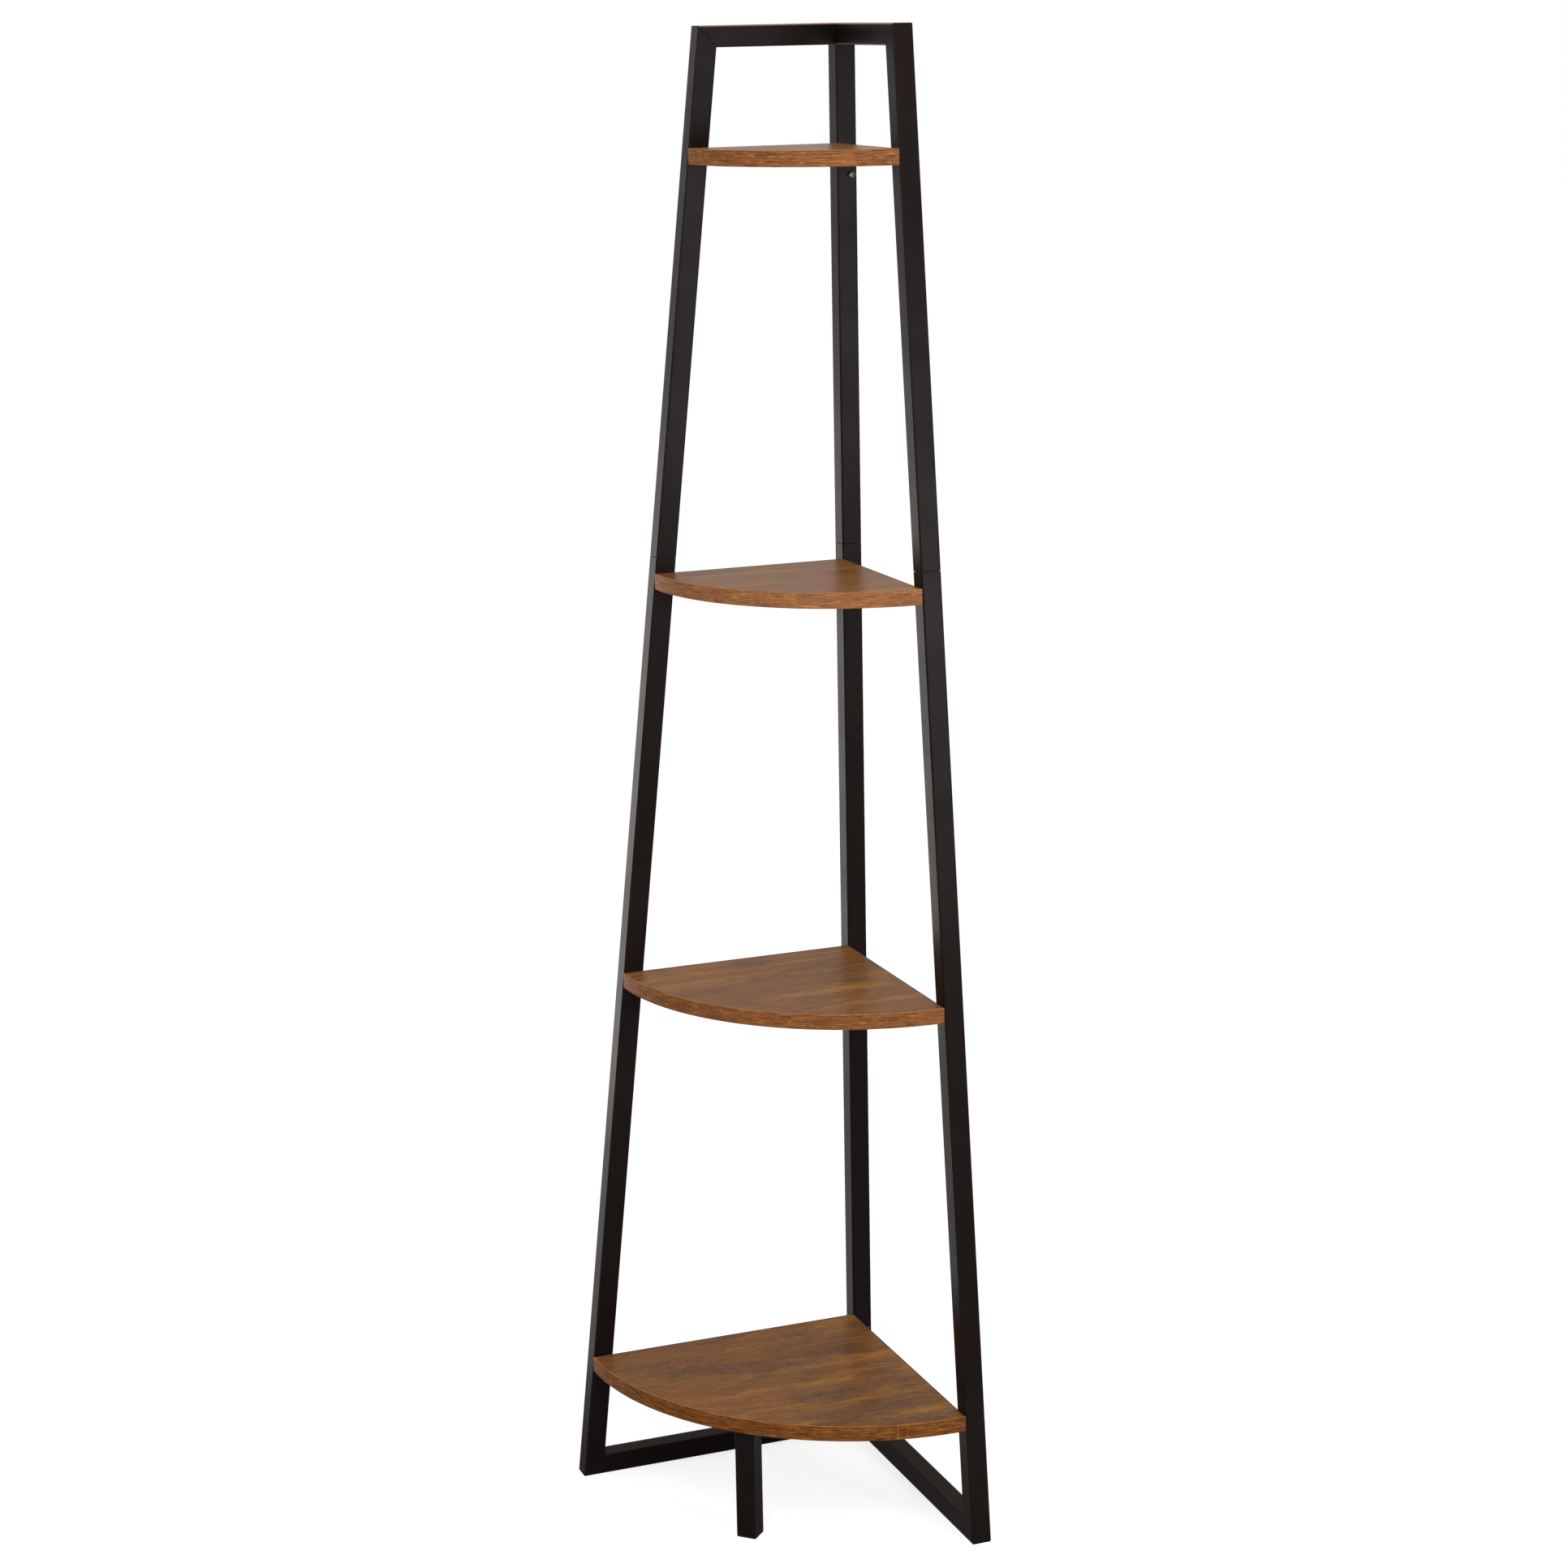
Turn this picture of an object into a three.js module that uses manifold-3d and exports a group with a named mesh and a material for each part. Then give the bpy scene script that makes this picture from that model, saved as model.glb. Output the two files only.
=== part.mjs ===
// Corner shelf unit: two splayed side frames of square tube share one rear post, four
// quarter-round shelves sit between them, and a short leg stands under the bottom shelf.
// Millimetres, +Z up. The room's corner is at +X +Y, and the shelves open towards -X -Y.
import * as THREE from "three";
import { mergeVertices } from "three/addons/utils/BufferGeometryUtils.js";
import Module from "manifold-3d";

const wasm = await Module();
wasm.setup();

// Overall sizes, outside to outside
const height = 1420;
const baseDepth = 314;
const topDepth = 157;

// Square steel tube
const tubeSide = 20;
const tubeWall = 1.2;
const tubeCornerRadius = 1.6;

// Clearances, and how far a cutter runs past the face that it opens
const fitGap = 0.3;
const weldGap = 0.3;
const seamGap = 0.4;
const glueLine = 0.1;
const cutOverrun = 5;

// Shelves: the bottom one's top face above the floor, and the frame's rise above the top one
const shelfThickness = 15;
const bottomShelfTop = 126.5;
const frameAboveTopShelf = 111;
const edgeBandThickness = 1;

// Seam where the upper frame plugs onto the lower frame
const seamAboveShelf = 14;
const sleeveLength = 80;
const sleeveWall = 1.2;
const setScrewRadius = 3;
const setScrewLength = 6;
const setScrewSocketRadius = 1.7;
const setScrewSocketDepth = 3;

// Pan-head screws
const screwRadius = 2;
const screwPointLength = 4;
const screwHeadRadius = 3.75;
const screwHeadHeight = 2.2;
const sideScrewLength = 34;
const accessClearance = 0.85;
const boardOverScrewPoint = 4.6;
const recessSpan = 4;
const recessWidth = 1;
const recessDepth = 1.3;

// Lug welded round the post's inner corner under each shelf
const lugThickness = 3;
const lugHalfWidth = 13;
const lugReach = 30;
const lugScrewInset = 12;

// Short leg under the front of the bottom shelf
const frontLegInset = 17;
const platePlanWidth = 56;
const platePlanDepth = 24;
const plateThickness = 2.5;
const plateScrewInset = 9;
const footFlange = 2;
const footInsert = 10;

// Screw that ties the post to a wall
const wallScrewFromEdge = 6;
const wallScrewBelowShelf = 15;
const wallScrewBackClear = 0.5;

// Facet counts
const cornerSteps = 2;
const arcSteps = 16;
const boreSides = 16;
const screwSides = 12;
const socketSides = 6;

// Shares of a screw head's radius and height that shape its dome
const crownRadiusShare = 0.66;
const rimHeightShare = 0.4;

// Shares of the way from the bottom shelf to the top one at which the two others lie
const lowerShelfShare = 0.3328;
const upperShelfShare = 0.6634;

// Places worked out from the sizes. The shelves' inner corner is at x = 0, y = 0.
const baseReach = baseDepth - tubeSide;
const topReach = topDepth - tubeSide;
const legSlope = (baseReach - topReach) / height;
const legLean = Math.atan(legSlope);
const legStretch = Math.hypot(1, legSlope);
const tubeHalf = tubeSide / 2;
const topShelfTop = height - frameAboveTopShelf;
const shelfSpread = topShelfTop - bottomShelfTop;
const lowerShelfTop = bottomShelfTop + shelfSpread * lowerShelfShare;
const upperShelfTop = bottomShelfTop + shelfSpread * upperShelfShare;
const seamHeight = upperShelfTop + seamAboveShelf;
const sleeveSide = tubeSide - 2 * (tubeWall + fitGap);
const holeRadius = screwRadius + fitGap;
const accessHoleRadius = screwHeadRadius + accessClearance;
const lugScrewReach = lugReach - lugScrewInset;
const plateScrewSpread = platePlanWidth / 2 - plateScrewInset;
const diagonalTurn = 1.25 * Math.PI;

const shelves = [
  { name: "bottom_shelf", top: bottomShelfTop },
  { name: "lower_shelf", top: lowerShelfTop },
  { name: "upper_shelf", top: upperShelfTop },
  { name: "top_shelf", top: topShelfTop },
];
for (const shelf of shelves) {
  shelf.bottom = shelf.top - shelfThickness;
  shelf.middle = shelf.top - shelfThickness / 2;
  shelf.radius = topReach + legSlope * (height - shelf.middle);
  shelf.screwAlongLeg = alongLeg(shelf.middle);
  shelf.screwInSleeve = Math.abs(shelf.middle - seamHeight) < sleeveLength / 2 + accessHoleRadius;
  // Distance from the face that the board sits against to the seat of the screw's head
  shelf.screwSeat = tubeWall + fitGap + (shelf.screwInSleeve ? fitGap + sleeveWall : 0);
}
const bottomShelf = shelves[0];
const topShelf = shelves[shelves.length - 1];

// Distance up the leg's centre line from its lower mitre
function alongLeg(level) {
  return (level - tubeHalf) * legStretch;
}

// The leg's centre line in plan, measured from the shelves' corner
function legCentre(level) {
  return topReach + legSlope * (height - level) - tubeHalf * legStretch;
}

// Finishes
const finishes = {
  paint: { color: 0x2a2422, roughness: 0.48, metalness: 0.25 },
  laminate: { color: 0x7a5a40, roughness: 0.55, metalness: 0 },
  band: { color: 0x96603a, roughness: 0.5, metalness: 0 },
  steel: { color: 0x8c8c8a, roughness: 0.35, metalness: 0.9 },
  blackened: { color: 0x222020, roughness: 0.4, metalness: 0.8 },
  plastic: { color: 0x1a1918, roughness: 0.6, metalness: 0 },
};

// Solids
function solidOf(geometry) {
  const bare = geometry.index ? geometry.toNonIndexed() : geometry.clone();
  bare.deleteAttribute("normal");
  bare.deleteAttribute("uv");
  const merged = mergeVertices(bare);
  const mesh = new wasm.Mesh({
    numProp: 3,
    vertProperties: merged.attributes.position.array,
    triVerts: new Uint32Array(merged.index.array),
  });
  return new wasm.Manifold(mesh);
}

function geometryOf(solid) {
  const mesh = solid.getMesh();
  const geometry = new THREE.BufferGeometry();
  geometry.setAttribute("position", new THREE.BufferAttribute(mesh.vertProperties, 3));
  geometry.setIndex(new THREE.BufferAttribute(mesh.triVerts, 1));
  geometry.computeVertexNormals();
  return geometry;
}

function drilled(geometry, cutters) {
  const cut = cutters.reduce((solid, cutter) => solid.subtract(solidOf(cutter)), solidOf(geometry));
  return geometryOf(cut);
}

function joined(first, second) {
  return geometryOf(solidOf(first).add(solidOf(second)));
}

// Shapes
function roundedSquare(outline, side, radius) {
  const half = side / 2;
  if (radius <= 0) {
    outline.moveTo(half, -half);
    outline.lineTo(half, half);
    outline.lineTo(-half, half);
    outline.lineTo(-half, -half);
  } else {
    const flat = half - radius;
    outline.absarc(flat, flat, radius, 0, Math.PI / 2);
    outline.absarc(-flat, flat, radius, Math.PI / 2, Math.PI);
    outline.absarc(-flat, -flat, radius, Math.PI, 1.5 * Math.PI);
    outline.absarc(flat, -flat, radius, 1.5 * Math.PI, 2 * Math.PI);
  }
  outline.closePath();
  return outline;
}

function extruded(shape, depth, curveSegments) {
  return new THREE.ExtrudeGeometry(shape, { depth, curveSegments, bevelEnabled: false });
}

// A square tube along +Z between two levels. A slanted end climbs by its rise across X and Y.
function squareTube({ side = tubeSide, wall = tubeWall, from, to, startRise, endRise }) {
  const cornerRadius = tubeCornerRadius - (tubeSide - side) / 2;
  const section = roundedSquare(new THREE.Shape(), side, cornerRadius);
  section.holes.push(roundedSquare(new THREE.Path(), side - 2 * wall, cornerRadius - wall));
  const geometry = extruded(section, to - from, cornerSteps);
  const points = geometry.getAttribute("position");
  const square = { x: 0, y: 0 };
  for (let i = 0; i < points.count; i++) {
    const level = points.getZ(i);
    const rise = (level > 0 ? endRise : startRise) ?? square;
    points.setZ(i, from + level + points.getX(i) * rise.x + points.getY(i) * rise.y);
  }
  return geometry;
}

function rod(radius, start, end) {
  const axis = new THREE.Vector3().subVectors(end, start);
  const geometry = new THREE.CylinderGeometry(radius, radius, axis.length(), boreSides);
  const up = new THREE.Vector3(0, 1, 0);
  geometry.applyQuaternion(new THREE.Quaternion().setFromUnitVectors(up, axis.clone().normalize()));
  const middle = new THREE.Vector3().addVectors(start, end).multiplyScalar(0.5);
  return geometry.translate(middle.x, middle.y, middle.z);
}

// A cross-recessed pan-head screw whose head seats at a point and whose shank runs along a direction
function panHeadScrew(length, seat, direction) {
  const profile = [
    [0, -length],
    [screwRadius, screwPointLength - length],
    [screwRadius, 0],
    [screwHeadRadius, 0],
    [screwHeadRadius, screwHeadHeight * rimHeightShare],
    [screwHeadRadius * crownRadiusShare, screwHeadHeight],
    [0, screwHeadHeight],
  ].map(([x, y]) => new THREE.Vector2(x, y));
  const recess = (width, span) =>
    new THREE.BoxGeometry(width, 2 * recessDepth, span).translate(0, screwHeadHeight, 0);
  const screw = drilled(new THREE.LatheGeometry(profile, screwSides), [
    recess(recessWidth, recessSpan),
    recess(recessSpan, recessWidth),
  ]);
  const down = new THREE.Vector3(0, -1, 0);
  screw.applyQuaternion(new THREE.Quaternion().setFromUnitVectors(down, direction));
  return screw.translate(seat.x, seat.y, seat.z);
}

function named(name, geometry, finish) {
  const mesh = new THREE.Mesh(geometry, new THREE.MeshStandardMaterial(finish));
  mesh.name = name;
  return mesh;
}

const at = (x, y, z) => new THREE.Vector3(x, y, z);

// Seam between an upper and a lower tube that run along +Z: the sleeve inside and its set screw
function seamJoint(name, seamLevel, sleeveCutters) {
  const screwLevel = seamLevel + sleeveLength / 4;
  const tip = at(0, tubeHalf - setScrewLength, screwLevel);
  const face = at(0, tubeHalf, screwLevel);
  const outside = at(0, tubeHalf + cutOverrun, screwLevel);
  const screwHole = rod(setScrewRadius + fitGap, at(0, 0, screwLevel), outside);
  const sleeve = squareTube({
    side: sleeveSide,
    wall: sleeveWall,
    from: seamLevel - sleeveLength / 2,
    to: seamLevel + sleeveLength / 2,
  });
  const socket = new THREE.CylinderGeometry(
    setScrewSocketRadius,
    setScrewSocketRadius,
    2 * setScrewSocketDepth,
    socketSides,
  ).translate(face.x, face.y, face.z);
  return {
    screwHole,
    meshes: [
      named(`${name}_seam_sleeve`, drilled(sleeve, [screwHole, ...sleeveCutters]), finishes.paint),
      named(
        `${name}_seam_set_screw`,
        drilled(rod(setScrewRadius, tip, face), [socket]),
        finishes.blackened,
      ),
    ],
  };
}

// Side frame on the back wall: it lies between y = 0 and y = tubeSide and runs out to -X
function sideFrame(name, shelfScrewName) {
  const frame = new THREE.Group();
  const leg = new THREE.Group();
  leg.position.set(-legCentre(tubeHalf), tubeHalf, tubeHalf);
  leg.rotation.y = legLean;
  frame.add(leg);

  // A mitre halves the angle between the leg and its bar
  const topMitre = Math.tan(Math.PI / 4 - legLean / 2);
  const footMitre = Math.tan(Math.PI / 4 + legLean / 2);
  const topPullBack = (weldGap / 2) / Math.cos(Math.PI / 4 - legLean / 2);
  const footPullBack = (weldGap / 2) / Math.cos(Math.PI / 4 + legLean / 2);
  const cornerPullBack = (weldGap / 2) * Math.SQRT2;

  const past = tubeHalf + cutOverrun;
  const screwCutters = ({ screwAlongLeg: level }) => [
    rod(accessHoleRadius, at(0, 0, level), at(0, past, level)),
    rod(holeRadius, at(0, -past, level), at(0, 0, level)),
  ];
  const cuttersOf = (chosen) => shelves.filter(chosen).flatMap(screwCutters);
  const seamLevel = alongLeg(seamHeight);
  const seam = seamJoint(name, seamLevel, cuttersOf((shelf) => shelf.screwInSleeve));
  leg.add(...seam.meshes);

  const lowerLeg = squareTube({
    from: footPullBack,
    to: seamLevel - seamGap / 2,
    startRise: { x: footMitre, y: 0 },
  });
  const upperLeg = squareTube({
    from: seamLevel + seamGap / 2,
    to: alongLeg(height - tubeHalf) - topPullBack,
    endRise: { x: -topMitre, y: 0 },
  });
  const lowerCutters = cuttersOf((shelf) => shelf.middle < seamHeight);
  const upperCutters = cuttersOf((shelf) => shelf.middle > seamHeight);
  leg.add(named(`${name}_lower_leg`, drilled(lowerLeg, lowerCutters), finishes.paint));
  leg.add(named(`${name}_upper_leg`, drilled(upperLeg, [seam.screwHole, ...upperCutters]), finishes.paint));

  for (const shelf of shelves) {
    const seat = at(0, shelf.screwSeat - tubeHalf, shelf.screwAlongLeg);
    const screw = panHeadScrew(sideScrewLength, seat, at(0, -1, 0));
    leg.add(named(`${shelf.name}_${shelfScrewName}`, screw, finishes.steel));
  }

  // A bar is drawn along +Z and laid down along +X, so its own -X side faces up
  const bar = (barName, level, pullBack, mitre) => {
    const tube = squareTube({
      from: pullBack - legCentre(level),
      to: tubeHalf - cornerPullBack,
      startRise: { x: mitre, y: 0 },
      endRise: { x: 0, y: 1 },
    });
    const mesh = named(barName, tube, finishes.paint);
    mesh.rotation.y = Math.PI / 2;
    mesh.position.set(0, tubeHalf, level);
    frame.add(mesh);
  };
  bar(`${name}_top_bar`, height - tubeHalf, topPullBack, topMitre);
  bar(`${name}_base_bar`, tubeHalf, footPullBack, -footMitre);
  return frame;
}

// Rear post between the mitred corners of the base bars and the top bars
function rearPost() {
  const post = new THREE.Group();
  post.position.set(tubeHalf, tubeHalf, 0);
  const seam = seamJoint("rear", seamHeight, []);
  post.add(...seam.meshes);

  const screwAcross = tubeHalf - wallScrewFromEdge;
  const screwLevel = topShelf.bottom - wallScrewBelowShelf;
  const screwLength = tubeSide - wallScrewBackClear;
  const wallHole = rod(
    holeRadius,
    at(screwAcross, -tubeHalf - cutOverrun, screwLevel),
    at(screwAcross, tubeHalf + cutOverrun, screwLevel),
  );
  const lower = squareTube({ from: tubeSide + weldGap, to: seamHeight - seamGap / 2 });
  const upper = squareTube({ from: seamHeight + seamGap / 2, to: height - tubeSide - weldGap });
  post.add(named("rear_lower_post", lower, finishes.paint));
  post.add(named("rear_upper_post", drilled(upper, [seam.screwHole, wallHole]), finishes.paint));

  const seat = at(screwAcross, -tubeHalf - fitGap, screwLevel);
  const screw = panHeadScrew(screwLength, seat, at(0, 1, 0));
  post.add(named("wall_fixing_screw", screw, finishes.blackened));
  return post;
}

// Shelf: board, its three edge bands, the lug under its corner and the screw through the lug
function quarterRound(radius, inset) {
  const turn = Math.asin(inset / radius);
  const outline = new THREE.Shape();
  outline.absarc(0, 0, radius, Math.PI + turn, 1.5 * Math.PI - turn);
  outline.lineTo(-inset, -inset);
  outline.closePath();
  return outline;
}

function frontBand(radius) {
  const inner = radius - edgeBandThickness;
  const turn = Math.asin(fitGap / radius);
  const innerTurn = Math.asin(fitGap / inner);
  const outline = new THREE.Shape();
  outline.absarc(0, 0, radius, Math.PI + turn, 1.5 * Math.PI - turn);
  outline.absarc(0, 0, inner, 1.5 * Math.PI - innerTurn, Math.PI + innerTurn, true);
  outline.closePath();
  return outline;
}

function strip(fromX, toX, fromY, toY) {
  const outline = new THREE.Shape();
  outline.moveTo(fromX, fromY);
  outline.lineTo(toX, fromY);
  outline.lineTo(toX, toY);
  outline.lineTo(fromX, toY);
  outline.closePath();
  return outline;
}

function onDiagonal(reach, across, level) {
  return at(reach, across, level).applyAxisAngle(at(0, 0, 1), diagonalTurn);
}

// Hole through a plate that lies on the plane z = 0
function plateHole(x, y, thickness) {
  return rod(holeRadius, at(x, y, -cutOverrun), at(x, y, thickness + cutOverrun));
}

function lug(level) {
  const apex = fitGap * Math.SQRT2;
  const outline = new THREE.Shape();
  outline.moveTo(lugReach, -lugHalfWidth);
  outline.lineTo(lugReach, lugHalfWidth);
  outline.lineTo(apex - lugHalfWidth, lugHalfWidth);
  outline.lineTo(apex, 0);
  outline.lineTo(apex - lugHalfWidth, -lugHalfWidth);
  outline.closePath();
  const plate = drilled(extruded(outline, lugThickness, 1), [plateHole(lugScrewReach, 0, lugThickness)]);
  return plate.rotateZ(diagonalTurn).translate(0, 0, level);
}

// A screw up through a plate into a board, and the pilot hole that it leaves in the board
function underScrew(shelf, plateTop, thickness, reach, across) {
  const seatLevel = plateTop - thickness - fitGap;
  const pointLevel = shelf.top - boardOverScrewPoint;
  const seat = onDiagonal(reach, across, seatLevel);
  return {
    screw: panHeadScrew(pointLevel - seatLevel, seat, at(0, 0, 1)),
    pilot: rod(holeRadius, seat, onDiagonal(reach, across, pointLevel + fitGap)),
  };
}

function makeShelf(shelf, extraPilots) {
  const group = new THREE.Group();
  const lugTop = shelf.bottom - fitGap;
  const pilotEnd = shelf.screwSeat - sideScrewLength - fitGap;
  const level = shelf.middle;
  const across = -legCentre(level);
  const leftPilot = rod(holeRadius, at(across, cutOverrun, level), at(across, pilotEnd, level));
  const rightPilot = rod(holeRadius, at(cutOverrun, across, level), at(pilotEnd, across, level));
  const rear = underScrew(shelf, lugTop, lugThickness, lugScrewReach, 0);

  const sheet = (outline) => extruded(outline, shelfThickness, arcSteps).translate(0, 0, shelf.bottom);
  const bandFace = fitGap + edgeBandThickness;
  const boardEdge = bandFace + glueLine;
  const bandEnd = shelf.radius - edgeBandThickness - glueLine;
  const board = sheet(quarterRound(bandEnd, boardEdge));
  const leftBand = sheet(strip(-bandEnd, -fitGap, -bandFace, -fitGap));
  const rightBand = sheet(strip(-bandFace, -fitGap, -bandEnd, -boardEdge));
  const boardCutters = [leftPilot, rightPilot, rear.pilot, ...extraPilots];
  group.add(
    named(`${shelf.name}_board`, drilled(board, boardCutters), finishes.laminate),
    named(`${shelf.name}_front_edge_band`, sheet(frontBand(shelf.radius)), finishes.band),
    named(`${shelf.name}_left_edge_band`, drilled(leftBand, [leftPilot]), finishes.band),
    named(`${shelf.name}_right_edge_band`, drilled(rightBand, [rightPilot]), finishes.band),
    named(`${shelf.name}_rear_lug`, lug(lugTop - lugThickness), finishes.paint),
    named(`${shelf.name}_rear_screw`, rear.screw, finishes.steel),
  );
  return group;
}

// Short front leg: tube, plate welded on its top, plastic foot in its end and two screws
function frontLeg() {
  const group = new THREE.Group();
  const reach = bottomShelf.radius - frontLegInset;
  const plateTop = bottomShelf.bottom - fitGap;
  const plateBottom = plateTop - plateThickness;
  const screwPlaces = { left: -plateScrewSpread, right: plateScrewSpread };
  const turned = (geometry, level) => {
    const centre = onDiagonal(reach, 0, level);
    return geometry.rotateZ(diagonalTurn).translate(centre.x, centre.y, centre.z);
  };
  const holes = Object.values(screwPlaces).map((across) => plateHole(0, across, plateThickness));
  const halfDepth = platePlanDepth / 2;
  const halfWidth = platePlanWidth / 2;
  const blank = extruded(strip(-halfDepth, halfDepth, -halfWidth, halfWidth), plateThickness, 1);
  const tube = squareTube({ from: footFlange + fitGap, to: plateBottom - weldGap });
  const flangeOutline = roundedSquare(new THREE.Shape(), tubeSide, tubeCornerRadius);
  const flange = extruded(flangeOutline, footFlange, cornerSteps);
  const insert = extruded(roundedSquare(new THREE.Shape(), sleeveSide, 0), footFlange + footInsert, 1);
  group.add(
    named("front_leg_tube", turned(tube, 0), finishes.paint),
    named("front_leg_plate", turned(drilled(blank, holes), plateBottom), finishes.paint),
    named("front_leg_foot", turned(joined(flange, insert), 0), finishes.plastic),
  );
  const pilots = [];
  for (const [side, across] of Object.entries(screwPlaces)) {
    const { screw, pilot } = underScrew(bottomShelf, plateTop, plateThickness, reach, across);
    group.add(named(`front_leg_${side}_screw`, screw, finishes.steel));
    pilots.push(pilot);
  }
  return { group, pilots };
}

// Assembly. The frame on the right wall is the left one with X and Y swapped.
const unit = new THREE.Group();
const leftFrame = sideFrame("left", "left_screw");
const rightFrame = sideFrame("right", "right_screw");
rightFrame.scale.y = -1;
rightFrame.rotation.z = Math.PI / 2;
const front = frontLeg();
unit.add(leftFrame, rightFrame, rearPost(), front.group);
for (const shelf of shelves) {
  unit.add(makeShelf(shelf, shelf === bottomShelf ? front.pilots : []));
}

// The origin is on the floor below the middle of the unit's plan
const planShift = (baseReach - tubeSide) / 2;
unit.position.set(planShift, planShift, 0);

export default unit;
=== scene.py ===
"""Corner shelf unit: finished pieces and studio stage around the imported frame.

Metres, +Z up. The room's corner is at +X +Y, and the shelves open towards -X -Y.
"""

import math

import bmesh
import bpy
from bpy.props import FloatProperty, FloatVectorProperty, IntProperty, PointerProperty
from bpy.types import Operator, Panel, PropertyGroup
from mathutils import Matrix, Vector


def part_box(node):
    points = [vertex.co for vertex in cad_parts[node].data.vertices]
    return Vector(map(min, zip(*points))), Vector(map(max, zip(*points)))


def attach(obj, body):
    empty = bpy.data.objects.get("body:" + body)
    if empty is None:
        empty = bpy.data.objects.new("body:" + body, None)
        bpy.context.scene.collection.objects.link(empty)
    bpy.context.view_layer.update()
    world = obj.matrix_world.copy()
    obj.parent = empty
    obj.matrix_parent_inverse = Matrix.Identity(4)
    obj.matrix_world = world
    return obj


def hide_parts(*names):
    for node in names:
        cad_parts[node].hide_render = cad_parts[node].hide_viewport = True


bl_info = {
    "name": "Corner Shelf Unit",
    "version": (1, 0, 0),
    "blender": (4, 5, 0),
    "location": "3D View > Sidebar > Shelf Unit",
    "description": "Builds the finished pieces of a corner shelf unit and its stage",
    "category": "Object",
}

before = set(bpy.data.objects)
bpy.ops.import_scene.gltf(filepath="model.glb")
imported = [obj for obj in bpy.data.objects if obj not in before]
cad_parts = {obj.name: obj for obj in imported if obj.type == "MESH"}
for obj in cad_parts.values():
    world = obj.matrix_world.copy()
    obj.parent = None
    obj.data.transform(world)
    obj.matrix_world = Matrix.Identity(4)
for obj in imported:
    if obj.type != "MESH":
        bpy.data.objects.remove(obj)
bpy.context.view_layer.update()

SHELVES = ("bottom_shelf", "lower_shelf", "upper_shelf", "top_shelf")
SIDES = ("left", "right")
SQUARE = math.pi / 2
DIAGONAL = math.pi / 4
# Points closer than this are one point.
TINY = 1e-6

# Places that the frame gives. The shelves' inner corner is the post's inner arris.
POST_LOW, POST_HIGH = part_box("rear_lower_post")
CORNER = Vector((POST_LOW.x, POST_LOW.y, 0))
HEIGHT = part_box("left_top_bar")[1].z
SEAM_HEIGHT = (POST_HIGH.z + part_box("rear_upper_post")[0].z) / 2
SEAM_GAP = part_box("rear_upper_post")[0].z - POST_HIGH.z
WELD_GAP = POST_LOW.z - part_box("left_base_bar")[1].z
BASE_REACH = CORNER.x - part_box("left_lower_leg")[0].x
TOP_REACH = CORNER.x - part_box("left_top_bar")[0].x

# Room round a set screw in its hole.
SET_SCREW_PLAY = SEAM_GAP * 0.75

# Steps of the rounded forms.
TUBE_CORNER_STEPS = 6
TUBE_END_STEPS = 3
BAND_STEPS = 4
EDGE_STEPS = 2
HOLE_STEPS = 28
WIDE_HOLE_STEPS = 40
SCREW_STEPS = 32
CROWN_STEPS = 3

# Edges sharper than the first are rounded, and those sharper than the second are shaded
# as edges. Faces flatter to each other than the third are one face.
SHARP_ANGLE = 0.6
SMOOTH_ANGLE = 0.7
FLAT_ANGLE = 0.01


class ShelfUnitSizes(PropertyGroup):
    """Sizes of the tube, the boards and the small rounded edges."""

    tube_side: FloatProperty(
        name="Tube Side",
        description="Outside width of the square tube",
        default=POST_HIGH.x - POST_LOW.x,
        unit="LENGTH",
    )
    tube_wall: FloatProperty(
        name="Tube Wall",
        description="Wall of the square tube",
        default=0.0012,
        unit="LENGTH",
    )
    tube_corner: FloatProperty(
        name="Tube Corner",
        description="Outside radius of the tube's long corners",
        default=0.0016,
        unit="LENGTH",
    )
    base_reach: FloatProperty(
        name="Base Reach",
        description="From the shelves' inner corner to the outer face of a leg at the floor",
        default=round(BASE_REACH, 3),
        unit="LENGTH",
    )
    top_reach: FloatProperty(
        name="Top Reach",
        description="From the shelves' inner corner to the outer face of a leg at the top",
        default=round(TOP_REACH, 3),
        unit="LENGTH",
    )
    seam_rounding: FloatProperty(
        name="Seam Rounding",
        description="Rounding of the tube ends that meet at a seam",
        default=0.0004,
        unit="LENGTH",
    )
    mitre_rounding: FloatProperty(
        name="Mitre Rounding",
        description="Rounding of the tube ends that are welded at a mitre",
        default=0.0002,
        unit="LENGTH",
    )
    band_thickness: FloatProperty(
        name="Band Thickness",
        description="Thickness of the strips glued on the boards' edges",
        default=0.001,
        unit="LENGTH",
    )
    band_arris: FloatProperty(
        name="Band Arris",
        description="Rounding that the trimming cutter leaves on the strips",
        default=0.0005,
        unit="LENGTH",
    )
    saw_marks: FloatVectorProperty(
        name="Saw Marks",
        description="From each front strip's left tip to its saw marks, lowest strip "
        "first, and below 0 for none",
        size=4,
        default=(0.378, -1.0, 0.147, -1.0),
        unit="LENGTH",
    )
    part_arris: FloatProperty(
        name="Part Arris",
        description="Rounding on the edges of lugs, plate and foot",
        default=0.0004,
        unit="LENGTH",
    )
    access_hole: FloatProperty(
        name="Access Hole",
        description="Radius of the holes that the screw heads pass through",
        default=0.0046,
        unit="LENGTH",
    )
    screw_hole: FloatProperty(
        name="Screw Hole",
        description="Radius of the holes that the screw shanks pass through",
        default=0.0023,
        unit="LENGTH",
    )
    arc_steps: IntProperty(
        name="Arc Steps",
        description="Straight steps in each board's curved front",
        default=72,
    )


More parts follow.
